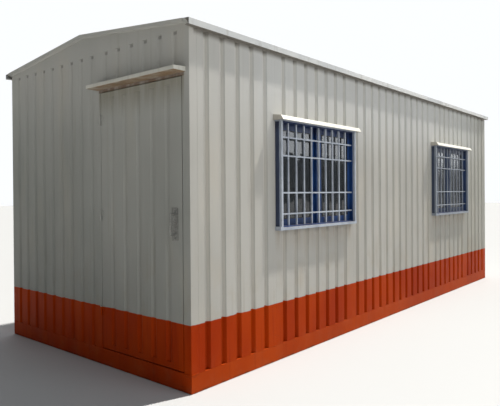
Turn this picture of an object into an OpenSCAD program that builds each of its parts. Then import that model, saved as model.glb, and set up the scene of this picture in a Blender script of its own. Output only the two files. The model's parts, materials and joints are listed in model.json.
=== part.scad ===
// Portable site cabin: a welded steel box with grooved sheet walls, a low gable roof,
// one door in an end wall and two grilled sliding windows in a side wall.
// Millimetres. The origin is on the ground at the middle of the plan, the length runs along X,
// the door end faces -X and the window side faces -Y.

/* [Cabin] */
// Length over the end walls
cabin_l = 6096; // [5400:1:7400]
// Width over the side walls
cabin_w = 2438; // [2250:1:3100]
// Height of the top of the wall panels above the ground
wall_top = 2400; // [2300:1:2700]
// Thickness of the clad wall panels
panel_t = 60; // [54:1:90]
// Thickness of the wall linings and of the ceiling board
lining_t = 10; // [6:1:18]
// Thickness of the steel in the posts
post_wall = 4; // [3:0.5:8]

/* [Base frame] */
// Depth of the base channels and joists
base_h = 125; // [100:1:180]
// Width of their flanges
base_flange = 65; // [62:1:90]
// Thickness of their webs
base_web_t = 6; // [4:0.5:12]
// Thickness of their flanges
base_flange_t = 8; // [5:0.5:14]
// Spacing of the joists
joist_pitch = 610; // [400:1:900]
// Thickness of the floor board
floor_t = 18; // [12:1:28]

/* [Cladding] */
// Spacing of the grooves in the side walls and over the door
groove_pitch = 157; // [130:1:190]
// Spacing of the grooves in the full height end walls
end_groove_pitch = 148; // [125:1:190]
// Width of a groove at the face of the wall
groove_mouth = 55; // [40:1:70]
// Width of the floor of a groove
groove_floor = 25; // [12:1:36]
// Depth of a groove in the side walls
groove_depth = 24; // [12:1:44]
// Depth of a groove in the end walls
end_groove_depth = 12; // [8:1:44]
// Least distance from the edge of a wall panel to the middle of its first groove
groove_margin = 60; // [45:1:100]

/* [Roof] */
// Slope of the roof in degrees
roof_pitch = 5.9; // [3:0.1:10]
// Height of the eave beams at the outer face of the wall
eave_beam_h = 27; // [20:1:80]
// Reach of the eaves beyond the side walls
eave_overhang = 42; // [34:1:120]
// Reach of the roof beyond the end walls
gable_overhang = 38; // [20:1:80]
// Thickness of the folded sheet in the roof, trims and hoods
sheet_t = 3; // [2:0.5:5]
// Height of the ribs of the roof sheets
roof_rib_h = 20; // [12:1:36]
// Spacing aimed at for the ribs
roof_rib_pitch = 200; // [150:1:300]
// Width of a rib at its foot
roof_rib_foot = 60; // [44:1:90]
// Width of the crest of a rib
roof_rib_crest = 30; // [15:1:40]
// Thickness of the sealing tape under the roof sheets and under the folds that lie on them
seal_t = 0.3; // [0.2:0.1:0.8]
// Height of the soffit above the top of the wall panels
soffit_rise = 4; // [0:1:14]
// Width of the fold of the eave trim that lies on the roof
eave_trim_lap = 60; // [45:1:130]
// Height of the outer leg of the barge trim
barge_leg = 26; // [24:1:60]
// Width of the barge trim's fold on the roof
barge_lap = 40; // [25:1:80]
// Reach of the ridge cap down each slope
ridge_cap_reach = 150; // [90:1:260]
// Thickness of the gable plates
gable_plate_t = 20; // [10:1:50]

/* [Windows] */
// Width of a window opening
window_w = 1164; // [900:1:1400]
// Height of a window opening
window_h = 880; // [700:1:1000]
// Height of the window sill above the ground
window_sill_z = 1022; // [900:1:1150]
// Distance from the end of the cabin to the middle of the nearer window
window_from_end = 1488; // [1300:1:1750]
// Width of the posts beside the windows
window_post_w = 40; // [30:1:60]
// Distance from the wall to the front of the window frame, which carries the grille
frame_proud = 34; // [20:1:36]
// Width of the window frame seen from outside
frame_face = 32; // [24:1:50]
// Depth of the tracks in the window frame
track_depth = 12; // [8:1:16]
// Depth of the window frame in front of its tracks
frame_recess = 30; // [25:1:40]
// Thickness of the inner lip of the window frame, and of the rib between its tracks
frame_lip = 4; // [3:0.5:6]
// Thickness of a sliding sash
sash_t = 18; // [14:1:20]
// Width of the outer stile of a sash
sash_stile = 50; // [35:1:70]
// Width of the stile of a sash in the middle of the window
meeting_stile = 75; // [50:1:90]
// Overlap of the two sashes in the middle of the window
meeting_lap = 20; // [10:1:40]
// Height of the rails of a sash
sash_rail = 62; // [35:1:80]
// Thickness of the glass
glass_t = 5; // [3:0.5:8]
// Depth of the glass in the sash
glass_grip = 6; // [4:1:12]
// Clearance of a sash in its track, each side
sash_clear = 0.5; // [0.2:0.1:1.5]

/* [Window grilles] */
// Thickness of the bars round the grille
grille_frame_bar = 22; // [16:1:26]
// Thickness of the bars inside the grille
grille_bar = 12; // [8:1:15]
// Depth of the bars inside the grille behind the front of the window frame
bar_recess = 9; // [4:1:12]
// Number of upright bars inside the grille
grille_uprights = 9; // [5:1:13]
// Gap between the grille and the side of the window opening
grille_side_gap = 5; // [2:1:12]
// Thickness of the lugs that carry the grille
lug_t = 6; // [4:1:10]
// Height of the lugs
lug_h = 30; // [20:1:45]

/* [Hoods] */
// Reach of the window hoods
window_hood_reach = 100; // [90:1:200]
// Height of the front of the window hoods
window_hood_lip = 37; // [34:1:60]
// How far the front of the window hoods leans back
window_hood_lean = 24; // [5:1:28]
// Fall of the top of the window hoods from the wall to the front
window_hood_rise = 10; // [4:1:60]
// Reach of the window hood past each side of the window
window_hood_lap = 25; // [20:1:60]
// How far the front of the window hood hangs below the head of the window
window_hood_drop = 22; // [10:1:26]
// Reach of the door hood
door_hood_reach = 104; // [60:1:200]
// Height of the front of the door hood
door_hood_lip = 26; // [16:1:60]
// Fall of the top of the door hood from the wall to the front
door_hood_rise = 8; // [4:1:60]
// Reach of the door hood past each side of the doorway
door_hood_lap = 36; // [10:1:60]
// Height of the underside of the door hood above the doorway
door_hood_lift = 19; // [6:1:40]

/* [Door] */
// Width of the doorway between its posts
door_w = 928; // [800:1:1050]
// Height of the head of the doorway above the ground
door_head_z = 2096; // [1950:1:2130]
// Height of the rail over the doorway
door_head_h = 45; // [30:1:70]
// Width of the post on the hinge side
door_post_w = 45; // [40:1:80]
// Thickness of the door leaf
leaf_t = 40; // [34:1:42]
// Depth of the grooves in the door leaf
leaf_groove_depth = 10; // [8:1:28]
// Least distance from the edge of the leaf to the middle of its first groove
leaf_groove_margin = 100; // [70:1:140]
// Plain margin at the top and bottom of the leaf
leaf_band = 42; // [25:1:90]
// Gap on the hinge side and over the leaf
leaf_gap = 5; // [5:1:9]
// Gap on the latch side, wider because the inner edge of the leaf swings past the post
latch_gap = 7; // [7:1:12]
// Gap under the leaf
leaf_floor_gap = 8; // [5:1:15]
// Gap between the leaf and its stops
stop_gap = 6; // [6:1:8]
// Width of the stops
stop_w = 20; // [15:1:35]

/* [Door fittings] */
// Height of the lowest hinge above the ground
hinge_low_z = 420; // [300:1:480]
// Spacing of the hinges
hinge_pitch = 730; // [350:1:900]
// Least distance from the top of the leaf to the highest hinge
hinge_top_margin = 150; // [100:1:200]
// Distance of the hinge pins from the face of the wall
hinge_proud = 10; // [9.5:0.5:11]
// Radius of the hinge barrels
barrel_r = 8; // [7:0.5:8.5]
// Length of each half of a hinge
barrel_l = 38; // [30:1:80]
// Thickness of the hinge tabs
tab_t = 4; // [3.5:0.5:6]
// Width of the hinge tabs from the pin
tab_w = 30; // [20:1:42]
// Thickness of the closed end of the upper barrels over the pins
barrel_cap = 12; // [6:1:20]
// Radius of the hinge pins
pin_r = 4; // [3:0.5:5]
// Clearance round the hinge pins
pin_clear = 0.05; // [0.03:0.01:0.1]
// Gap between the halves of a hinge
barrel_gap = 0.3; // [0.1:0.1:1]
// Height of the middle of the door handle above the ground
handle_z = 1110; // [950:1:1250]
// Width of the handle plate
handle_plate_w = 60; // [40:1:70]
// Height of the handle plate
handle_plate_h = 220; // [200:1:300]
// Thickness of the handle plate
handle_plate_t = 4; // [2:0.5:8]
// Distance from the edge of the leaf to the handle plate
handle_inset = 40; // [25:1:45]
// Length of the grip
grip_l = 150; // [110:1:170]
// Radius of the grip
grip_r = 7; // [5:0.5:10]
// Reach of the grip from the leaf
grip_reach = 48; // [40:1:70]

/* [Hidden] */
wall_t = panel_t + lining_t;
wall_h = wall_top - base_h;
wall_paint = "#bfbcb3";
base_paint = "#b34a1c";
roof_paint = "#c5c6c4";
hood_paint = "#f4f2ec";
grille_paint = "#969ba5";
window_paint = "#24407a";
glass_tint = "#3a4046";
lining_paint = "#dcd8cc";
floor_finish = "#8a6f52";
bare_steel = "#7d7d7c";
overcut = 1;
turned_sides = 32;

// Each wall has its own view: x runs left to right seen from outside, y runs inwards from the outer face
module on_front() translate([-cabin_l / 2, -cabin_w / 2, 0]) children();
module on_back() translate([cabin_l / 2, cabin_w / 2, 0]) rotate(180) children();
module on_door_end() translate([-cabin_l / 2, cabin_w / 2, 0]) rotate(-90) children();
module on_far_end() translate([cabin_l / 2, -cabin_w / 2, 0]) rotate(90) children();
module on_sides() {
    on_front() children();
    on_back() children();
}
module on_ends() {
    on_door_end() children();
    on_far_end() children();
}

// Turns a section drawn as (depth, height) into a length along x, or as (x, height) into a depth along y
module along_x(l) rotate([90, 0, 90]) linear_extrude(l) children();
module through_wall(t) translate([0, t, 0]) rotate([90, 0, 0]) linear_extrude(t) children();
module tube(w, d, h) linear_extrude(h) difference() {
    square([w, d]);
    translate([post_wall, post_wall]) square([w - 2 * post_wall, d - 2 * post_wall]);
}

// Base frame
channel_outline = [
    [0, 0],
    [base_flange, 0],
    [base_flange, base_flange_t],
    [base_web_t, base_flange_t],
    [base_web_t, base_h - base_flange_t],
    [base_flange, base_h - base_flange_t],
    [base_flange, base_h],
    [0, base_h]
];
module mitred_rail(l) intersection() {
    along_x(l) polygon(channel_outline);
    linear_extrude(base_h)
        polygon([[0, 0], [l, 0], [l - base_flange, base_flange], [base_flange, base_flange]]);
}
module base_side_rails() color(base_paint) on_sides() mitred_rail(cabin_l);
module base_end_rails() color(base_paint) on_ends() mitred_rail(cabin_w);

// The web of each joist reaches between the flanges of the side rails to their webs
joist_room = cabin_l / 2 - 2 * base_flange;
joists_each_side = floor(joist_room / joist_pitch);
module joist() {
    translate([-base_flange / 2, cabin_w / 2 - base_flange, 0])
        rotate([90, 0, 0]) linear_extrude(cabin_w - 2 * base_flange) polygon(channel_outline);
    translate([-base_flange / 2, base_web_t - cabin_w / 2, base_flange_t])
        cube([base_web_t, cabin_w - 2 * base_web_t, base_h - 2 * base_flange_t]);
}
module floor_joists() color(base_paint)
    for (i = [-joists_each_side : joists_each_side]) translate([i * joist_pitch, 0, 0]) joist();

room_l = cabin_l - 2 * wall_t;
room_w = cabin_w - 2 * wall_t;
module room_board(z, t) translate([-room_l / 2, -room_w / 2, z]) cube([room_l, room_w, t]);
module floor_board() color(floor_finish) room_board(base_h, floor_t);

// Posts
module corner_posts() color(wall_paint)
    for (x = [-cabin_l / 2, cabin_l / 2 - wall_t], y = [-cabin_w / 2, cabin_w / 2 - wall_t])
        translate([x, y, base_h]) tube(wall_t, wall_t, wall_h);

window_lefts = [window_from_end - window_w / 2, cabin_l - window_from_end - window_w / 2];
module window_posts() color(wall_paint) on_front()
    for (left = window_lefts, x = [left - window_post_w, left + window_w])
        translate([x, 0, base_h]) tube(window_post_w, panel_t, wall_h);

// The doorway lies between the corner post and the door post
doorway_right = cabin_w - wall_t;
doorway_left = doorway_right - door_w;
doorway_h = door_head_z - base_h;
stop_y = leaf_t + stop_gap;
stop_t = panel_t - stop_y;
module door_post() color(wall_paint) on_door_end() {
    translate([doorway_left - door_post_w, 0, base_h]) tube(door_post_w, panel_t, wall_h);
    translate([doorway_left, stop_y, base_h]) cube([stop_w, stop_t, doorway_h]);
}
module latch_jamb() color(wall_paint) on_door_end()
    translate([doorway_right - stop_w, stop_y, base_h]) cube([stop_w, stop_t, doorway_h]);
module door_head() color(wall_paint) on_door_end() {
    translate([doorway_left, 0, door_head_z]) cube([door_w, panel_t, door_head_h]);
    translate([doorway_left + stop_w, stop_y, door_head_z - stop_w])
        cube([door_w - 2 * stop_w, stop_t, stop_w]);
}

// Clad panels, with grooves centred on each panel
function groove_count(w, pitch, margin) = floor((w - 2 * margin) / pitch) + 1;
function groove_middles(w, pitch, margin) =
    let (n = groove_count(w, pitch, margin), first = (w - (n - 1) * pitch) / 2)
    [for (i = [0 : n - 1]) first + i * pitch];
function groove_points(x, depth) = [
    [x - groove_mouth / 2, 0],
    [x - groove_floor / 2, depth],
    [x + groove_floor / 2, depth],
    [x + groove_mouth / 2, 0]
];
module clad_panel(x, w, z, h, pitch, depth) translate([x, 0, z]) linear_extrude(h) polygon([
    [0, 0],
    for (middle = groove_middles(w, pitch, groove_margin)) each groove_points(middle, depth),
    [w, 0],
    [w, panel_t],
    [0, panel_t]
]);

end_panel_w = window_from_end - window_w / 2 - window_post_w - wall_t;
middle_panel_x = window_from_end + window_w / 2 + window_post_w;
middle_panel_w = cabin_l - 2 * middle_panel_x;
window_head_z = window_sill_z + window_h;
module front_wall_door_end() color(wall_paint) on_front()
    clad_panel(wall_t, end_panel_w, base_h, wall_h, groove_pitch, groove_depth);
module front_wall_middle() color(wall_paint) on_front()
    clad_panel(middle_panel_x, middle_panel_w, base_h, wall_h, groove_pitch, groove_depth);
module front_wall_far_end() color(wall_paint) on_front()
    clad_panel(cabin_l - wall_t - end_panel_w, end_panel_w, base_h, wall_h, groove_pitch, groove_depth);
module front_wall_under_windows() color(wall_paint) on_front()
    for (left = window_lefts)
        clad_panel(left, window_w, base_h, window_sill_z - base_h, groove_pitch, groove_depth);
module front_wall_over_windows() color(wall_paint) on_front()
    for (left = window_lefts)
        clad_panel(left, window_w, window_head_z, wall_top - window_head_z, groove_pitch, groove_depth);

back_panels = 3;
back_panel_w = room_l / back_panels;
module back_panel(i) color(wall_paint) on_back()
    clad_panel(wall_t + i * back_panel_w, back_panel_w, base_h, wall_h, groove_pitch, groove_depth);
module back_wall_far_end() back_panel(0);
module back_wall_middle() back_panel(1);
module back_wall_door_end() back_panel(2);

over_door_z = door_head_z + door_head_h;
beside_door_w = doorway_left - door_post_w - wall_t;
module door_end_wall() color(wall_paint) on_door_end()
    clad_panel(wall_t, beside_door_w, base_h, wall_h, end_groove_pitch, end_groove_depth);
module door_end_wall_over_door() color(wall_paint) on_door_end()
    clad_panel(doorway_left, door_w, over_door_z, wall_top - over_door_z, groove_pitch, end_groove_depth);
module far_end_wall() color(wall_paint) on_far_end()
    clad_panel(wall_t, room_w, base_h, wall_h, end_groove_pitch, end_groove_depth);

// Linings
module lining(w) translate([wall_t, panel_t, base_h]) cube([w, lining_t, wall_h]);
module front_lining() color(lining_paint) on_front() difference() {
    lining(room_l);
    for (left = window_lefts)
        translate([left, panel_t - overcut, window_sill_z])
            cube([window_w, lining_t + 2 * overcut, window_h]);
}
module back_lining() color(lining_paint) on_back() lining(room_l);
module door_end_lining() color(lining_paint) on_door_end() difference() {
    lining(room_w);
    translate([doorway_left, panel_t - overcut, base_h - overcut])
        cube([door_w + overcut, lining_t + 2 * overcut, doorway_h + overcut]);
}
module far_end_lining() color(lining_paint) on_far_end() lining(room_w);
module ceiling_board() color(lining_paint) room_board(wall_top, lining_t);

// Heights at a distance inwards from the outer face of a side wall: the top of the wall frame,
// the underside of the roof sheets and the underside of the folds that lie on their ribs
function frame_top(inwards) = wall_top + eave_beam_h + inwards * tan(roof_pitch);
function roof_under(inwards) = frame_top(inwards) + seal_t;
function fold_under(inwards) = roof_under(inwards) + roof_rib_h / cos(roof_pitch) + seal_t;
sheet_rise = sheet_t / cos(roof_pitch);
beam_top = wall_top + eave_beam_h;
ridge_at = cabin_w / 2;

module eave_beams() color(wall_paint) on_sides() along_x(cabin_l) polygon([
    [0, wall_top],
    [wall_t, wall_top],
    [wall_t, frame_top(wall_t)],
    [0, beam_top]
]);
module tie_beams() color(wall_paint) on_ends()
    translate([wall_t, 0, wall_top]) cube([room_w, wall_t, eave_beam_h]);
module gable_plates() color(wall_paint) on_ends() through_wall(gable_plate_t) polygon([
    [wall_t, beam_top],
    [cabin_w - wall_t, beam_top],
    [cabin_w - wall_t, frame_top(wall_t)],
    [ridge_at, frame_top(ridge_at)],
    [wall_t, frame_top(wall_t)]
]);

// Roof sheets: a folded outline with a half rib at each end, run down the slope from the ridge
roof_l = cabin_l + 2 * gable_overhang;
rib_bays = round(roof_l / roof_rib_pitch);
rib_step = roof_l / rib_bays;
rib_fold = roof_rib_h - sheet_t;
function rib_underside(x) = [
    [x - roof_rib_foot / 2, 0],
    [x - roof_rib_crest / 2, rib_fold],
    [x + roof_rib_crest / 2, rib_fold],
    [x + roof_rib_foot / 2, 0]
];
sheet_underside = [
    [0, rib_fold],
    [roof_rib_crest / 2, rib_fold],
    [roof_rib_foot / 2, 0],
    for (i = [1 : rib_bays - 1]) each rib_underside(i * rib_step),
    [roof_l - roof_rib_foot / 2, 0],
    [roof_l - roof_rib_crest / 2, rib_fold],
    [roof_l, rib_fold]
];
sheet_last = len(sheet_underside) - 1;
sheet_outline = [
    each sheet_underside,
    for (i = [sheet_last : -1 : 0]) sheet_underside[i] + [0, sheet_t]
];
slope_run = ridge_at + eave_overhang - sheet_t - seal_t - roof_rib_h * sin(roof_pitch);
module roof_slope() color(roof_paint)
    translate([-roof_l / 2, 0, roof_under(ridge_at)])
        rotate([90 + roof_pitch, 0, 0])
            linear_extrude(slope_run / cos(roof_pitch)) polygon(sheet_outline);
module roof_sheet_front() roof_slope();
module roof_sheet_back() rotate(180) roof_slope();

// A band that follows both slopes, as (y, z) points, from one height above its seat to another
function band_z(y, lift) = fold_under(ridge_at - abs(y)) + lift;
module ridge_band(reach, low, high) polygon([
    [-reach, band_z(reach, low)],
    [0, band_z(0, low)],
    [reach, band_z(reach, low)],
    [reach, band_z(reach, high)],
    [0, band_z(0, high)],
    [-reach, band_z(reach, high)]
]);
cap_l = roof_l - 2 * barge_lap;
module ridge_cap() color(roof_paint)
    translate([-cap_l / 2, 0, 0]) along_x(cap_l) ridge_band(ridge_cap_reach, 0, sheet_rise);

barge_reach = ridge_at + eave_overhang - eave_trim_lap;
module barge_trims() color(wall_paint) for (turn = [0, 180]) rotate(turn)
    translate([-roof_l / 2, 0, 0]) {
        along_x(barge_lap) ridge_band(barge_reach, 0, sheet_rise);
        translate([-sheet_t, 0, 0])
            along_x(sheet_t) ridge_band(barge_reach, sheet_rise - barge_leg, sheet_rise);
    }

// Eave trim: soffit, fascia and a fold on the ribs, open at its ends
soffit_z = wall_top + soffit_rise;
lap_end = eave_trim_lap - eave_overhang;
fascia_back = sheet_t - eave_overhang;
module eave_trims() color(roof_paint) on_sides()
    translate([-gable_overhang, 0, 0]) along_x(roof_l) polygon([
        [0, soffit_z],
        [-eave_overhang, soffit_z],
        [-eave_overhang, fold_under(-eave_overhang) + sheet_rise],
        [lap_end, fold_under(lap_end) + sheet_rise],
        [lap_end, fold_under(lap_end)],
        [fascia_back, fold_under(fascia_back)],
        [fascia_back, soffit_z + sheet_t],
        [0, soffit_z + sheet_t]
    ]);

// Sliding windows: a frame with two tracks, an outer sash on the right and an inner sash on the left
track_w = sash_t + 2 * sash_clear;
frame_depth = frame_recess + 2 * track_w + 2 * frame_lip;
frame_y = -frame_proud;
outer_track_y = frame_y + frame_recess;
inner_track_y = outer_track_y + track_w + frame_lip;
track_inset = frame_face - track_depth;
sash_w = (window_w - 2 * track_inset + meeting_lap) / 2;
sash_h = window_h - 2 * track_inset - sash_clear;
outer_sash_x = window_w - track_inset - sash_w;
module at_windows() on_front()
    for (left = window_lefts) translate([left, 0, window_sill_z]) children();
module inset_slab(w, h, inset_x, inset_z, y, t)
    translate([inset_x, y, inset_z]) cube([w - 2 * inset_x, t, h - 2 * inset_z]);

module window_frames() color(window_paint) at_windows() difference() {
    translate([0, frame_y, 0]) cube([window_w, frame_depth, window_h]);
    inset_slab(window_w, window_h, frame_face, frame_face, frame_y - overcut, frame_depth + 2 * overcut);
    for (y = [outer_track_y, inner_track_y])
        inset_slab(window_w, window_h, track_inset, track_inset, y, track_w);
}

// A sash is drawn with its meeting stile on the left, and mirrored for the inner one
pane_y = (sash_t - glass_t) / 2;
light_w = sash_w - meeting_stile - sash_stile;
light_h = sash_h - 2 * sash_rail;
module pane() translate([meeting_stile - glass_grip, pane_y, sash_rail - glass_grip])
    cube([light_w + 2 * glass_grip, glass_t, light_h + 2 * glass_grip]);
module sash() difference() {
    cube([sash_w, sash_t, sash_h]);
    translate([meeting_stile, -overcut, sash_rail]) cube([light_w, sash_t + 2 * overcut, light_h]);
    pane();
}
module at_outer_sash() at_windows()
    translate([outer_sash_x, outer_track_y + sash_clear, track_inset]) children();
module at_inner_sash() at_windows()
    translate([track_inset + sash_w, inner_track_y + sash_clear, track_inset]) mirror([1, 0, 0]) children();
module window_outer_sashes() color(window_paint) at_outer_sash() sash();
module window_inner_sashes() color(window_paint) at_inner_sash() sash();
module window_panes() color(glass_tint) {
    at_outer_sash() pane();
    at_inner_sash() pane();
}

// Window grilles: square bars round the front of the window frame with lugs at the corners that reach back
// to the window posts, and thinner bars, fused where they cross, between the sides of the frame
grille_w = window_w - 2 * grille_side_gap;
grille_front = frame_proud + grille_frame_bar;
bar_y = bar_recess - frame_proud;
grid_w = window_w - 2 * frame_face;
grid_h = window_h - 2 * frame_face;
upright_step = grid_w / (grille_uprights + 1);
cross_bar_places = [1 / 7, 1 / 3, 2 / 3, 5 / 6];
module grille_lug() {
    translate([-lug_t, -grille_front, 0]) cube([lug_t, grille_front, lug_h]);
    translate([-lug_t, -grille_front, 0])
        cube([lug_t + grille_side_gap + grille_frame_bar / 2, grille_frame_bar, lug_h]);
}
module grille_surround() {
    for (x = [grille_side_gap, window_w - grille_side_gap - grille_frame_bar])
        translate([x, -grille_front, 0]) cube([grille_frame_bar, grille_frame_bar, window_h]);
    for (z = [0, window_h - grille_frame_bar])
        translate([grille_side_gap, -grille_front, z]) cube([grille_w, grille_frame_bar, grille_frame_bar]);
    for (z = [0, window_h - lug_h]) translate([0, 0, z]) {
        grille_lug();
        translate([window_w, 0, 0]) mirror([1, 0, 0]) grille_lug();
    }
}
module grille_bars() {
    for (i = [1 : grille_uprights])
        translate([frame_face + i * upright_step - grille_bar / 2, bar_y, frame_face])
            cube([grille_bar, grille_bar, grid_h]);
    for (place = cross_bar_places)
        translate([frame_face, bar_y, place * window_h - grille_bar / 2])
            cube([grid_w, grille_bar, grille_bar]);
}
module window_grille(left) color(grille_paint) on_front() translate([left, 0, window_sill_z]) {
    grille_surround();
    grille_bars();
}
module window_grille_near() window_grille(window_lefts[0]);
module window_grille_far() window_grille(window_lefts[1]);

// Hoods: folded sheet with two cheeks, open against the wall, drawn as a section and the hollow in it
module hood(l, section, hollow) difference() {
    along_x(l) polygon(section);
    translate([sheet_t, 0, 0]) along_x(l - 2 * sheet_t) polygon(hollow);
}

// The window hoods are open below, with a front that leans back; the door hood is closed below
window_hood_front = window_hood_lean - window_hood_reach;
window_hood_fold = sheet_t * sqrt(1 + pow(window_hood_lean / window_hood_lip, 2));
window_hood_back_h = window_hood_lip + window_hood_rise;
module window_hoods() color(hood_paint) on_front() for (left = window_lefts)
    translate([left - window_hood_lap, 0, window_head_z - window_hood_drop])
        hood(window_w + 2 * window_hood_lap, [
            [0, 0],
            [-window_hood_reach, 0],
            [window_hood_front, window_hood_lip],
            [0, window_hood_back_h]
        ], [
            [overcut, -overcut],
            [window_hood_fold - window_hood_reach, -overcut],
            [window_hood_fold + window_hood_front, window_hood_lip - sheet_t],
            [overcut, window_hood_back_h - sheet_t]
        ]);

door_hood_back_h = door_hood_lip + door_hood_rise;
module door_hood() color(hood_paint) on_door_end()
    translate([doorway_left - door_hood_lap, 0, door_head_z + door_hood_lift])
        hood(door_w + 2 * door_hood_lap, [
            [0, 0],
            [-door_hood_reach, 0],
            [-door_hood_reach, door_hood_lip],
            [0, door_hood_back_h]
        ], [
            [overcut, sheet_t],
            [sheet_t - door_hood_reach, sheet_t],
            [sheet_t - door_hood_reach, door_hood_lip - sheet_t],
            [overcut, door_hood_back_h - sheet_t]
        ]);

// Door leaf, clad in the same sheet with a plain margin
leaf_x = doorway_left + leaf_gap;
leaf_z = base_h + leaf_floor_gap;
leaf_w = door_w - leaf_gap - latch_gap;
leaf_h = doorway_h - leaf_floor_gap - leaf_gap;
leaf_groove_flare = overcut * (groove_mouth - groove_floor) / (2 * leaf_groove_depth);
module leaf_groove() translate([0, 0, leaf_band]) linear_extrude(leaf_h - 2 * leaf_band) polygon([
    [-groove_mouth / 2 - leaf_groove_flare, -overcut],
    [-groove_floor / 2, leaf_groove_depth],
    [groove_floor / 2, leaf_groove_depth],
    [groove_mouth / 2 + leaf_groove_flare, -overcut]
]);
module door_leaf() color(wall_paint) on_door_end() translate([leaf_x, 0, leaf_z]) difference() {
    cube([leaf_w, leaf_t, leaf_h]);
    for (x = groove_middles(leaf_w, groove_pitch, leaf_groove_margin)) translate([x, 0, 0]) leaf_groove();
}

// Pull handle on a plate beside the latch edge
handle_x = leaf_x + leaf_w - handle_inset - handle_plate_w;
grip_y = grip_r - grip_reach;
module grip_leg() rotate([-90, 0, 0]) cylinder(h = -grip_y, r = grip_r, $fn = turned_sides);
module door_handle() color(bare_steel) on_door_end() {
    translate([handle_x, -handle_plate_t, handle_z - handle_plate_h / 2])
        cube([handle_plate_w, handle_plate_t, handle_plate_h]);
    translate([handle_x + handle_plate_w / 2, grip_y, handle_z]) {
        translate([0, 0, -grip_l / 2]) cylinder(h = grip_l, r = grip_r, $fn = turned_sides);
        for (z = [-1, 1] * (grip_l / 2 - grip_r)) translate([0, 0, z]) grip_leg();
    }
}

// Lift-off hinges: a pin on the post side, a capped barrel on the leaf side, as many as the leaf has room for
pin_x = doorway_left + leaf_gap / 2;
pin_h = barrel_l - barrel_cap;
hinge_room = leaf_z + leaf_h - hinge_top_margin - hinge_low_z;
module at_hinges() on_door_end()
    for (i = [0 : floor(hinge_room / hinge_pitch)])
        translate([pin_x, -hinge_proud, hinge_low_z + i * hinge_pitch]) children();
module door_hinge_lower_halves() color(bare_steel) at_hinges() {
    translate([0, 0, -barrel_l]) cylinder(h = barrel_l, r = barrel_r, $fn = turned_sides);
    cylinder(h = pin_h, r = pin_r, $fn = turned_sides);
    translate([-tab_w, hinge_proud - tab_t, -barrel_l]) cube([tab_w, tab_t, barrel_l]);
}
module door_hinge_upper_halves() color(bare_steel) at_hinges() translate([0, 0, barrel_gap]) difference() {
    union() {
        cylinder(h = barrel_l, r = barrel_r, $fn = turned_sides);
        translate([0, hinge_proud - tab_t, 0]) cube([tab_w, tab_t, barrel_l]);
    }
    translate([0, 0, -overcut]) cylinder(h = overcut + pin_h, r = pin_r + pin_clear, $fn = turned_sides);
}

base_side_rails();
base_end_rails();
floor_joists();
floor_board();
corner_posts();
window_posts();
door_post();
door_head();
latch_jamb();
eave_beams();
tie_beams();
gable_plates();
front_wall_door_end();
front_wall_middle();
front_wall_far_end();
front_wall_under_windows();
front_wall_over_windows();
back_wall_door_end();
back_wall_middle();
back_wall_far_end();
door_end_wall();
door_end_wall_over_door();
far_end_wall();
front_lining();
back_lining();
door_end_lining();
far_end_lining();
ceiling_board();
roof_sheet_front();
roof_sheet_back();
ridge_cap();
eave_trims();
barge_trims();
window_frames();
window_outer_sashes();
window_inner_sashes();
window_panes();
window_grille_near();
window_grille_far();
window_hoods();
door_hood();
door_leaf();
door_handle();
door_hinge_lower_halves();
door_hinge_upper_halves();
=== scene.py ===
import json
import math

import bmesh
import bpy
from mathutils import Matrix, Vector


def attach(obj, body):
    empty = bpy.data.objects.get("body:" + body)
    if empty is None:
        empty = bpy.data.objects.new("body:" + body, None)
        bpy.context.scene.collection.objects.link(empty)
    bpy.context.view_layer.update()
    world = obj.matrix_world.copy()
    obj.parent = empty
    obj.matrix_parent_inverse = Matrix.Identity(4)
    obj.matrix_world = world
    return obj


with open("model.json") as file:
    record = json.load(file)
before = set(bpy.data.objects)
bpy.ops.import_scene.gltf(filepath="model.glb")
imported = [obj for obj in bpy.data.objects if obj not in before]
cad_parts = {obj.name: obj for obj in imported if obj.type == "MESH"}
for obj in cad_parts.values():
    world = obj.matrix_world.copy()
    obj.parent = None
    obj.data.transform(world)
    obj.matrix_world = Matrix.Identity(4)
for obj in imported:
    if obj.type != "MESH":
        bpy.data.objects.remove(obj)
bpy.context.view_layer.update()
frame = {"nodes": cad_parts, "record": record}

# Sizes of the cabin in metres, as its pieces are built
HALF_L = 3.048
HALF_W = 1.219
BAND_TOP = 0.45
RAIL_TOP = 0.125
FLOOR_TOP = 0.143
CEILING = 2.4
WALL_T = 0.07
ROOF_SLOPE = math.radians(5.9)
BEAM_TOP = 2.427
TAPE = 0.0003
RIB_H = 0.02
SHEET_T = 0.003
ROOF_HALF_L = HALF_L + 0.038
RIB_BAYS = 31
RIB_STEP = 2 * ROOF_HALF_L / RIB_BAYS
WINDOW_MIDDLES = (-1.56, 1.56)
WINDOW_W = 1.164
WINDOW_H = 0.88
SILL_Z = 1.022
LUG_H = 0.03
TRACK_INSET = 0.02
SASH_W = 0.572
SASH_H = 0.8395
SASH_STILE = 0.05
MEETING_STILE = 0.075
SASH_RAIL = 0.062
OUTER_SASH_FACE = -HALF_W - 0.0035
INNER_SASH_FACE = OUTER_SASH_FACE + 0.023
SASH_T = 0.018
GLASS_T = 0.005
DOORWAY = (-1.149, -0.221)
DOOR_TOP = 2.092
PLATE_FOOT = 2.4
PIN_Y = -0.2235
HINGE_HEIGHTS = (0.42, 1.15, 1.88)
TAB_W = 0.03
BARREL_L = 0.038
HANDLE_Y = -1.072
HANDLE_Z = 1.11
EAVE_OUT = 0.042
SCREW_ROWS = (-1.165, -0.64, 0.64, 1.165)
CAP_SCREW_ROWS = (-0.125, 0.125)
EAVE_RIVET_ROWS = (-1.23, 1.23)
BARGE_RIVET_STEP = 0.215
LINING_JOINTS = (-2.42, -0.61, 0.61, 2.42)
DOOR_END_JOINT = 0.44
STRIP_HALF_W = 0.02
STRIP_T = 0.004
SKIRTING_H = 0.075
SKIRTING_T = 0.009
RUBBER_W = 0.006
RUBBER_T = 0.0045

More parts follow.
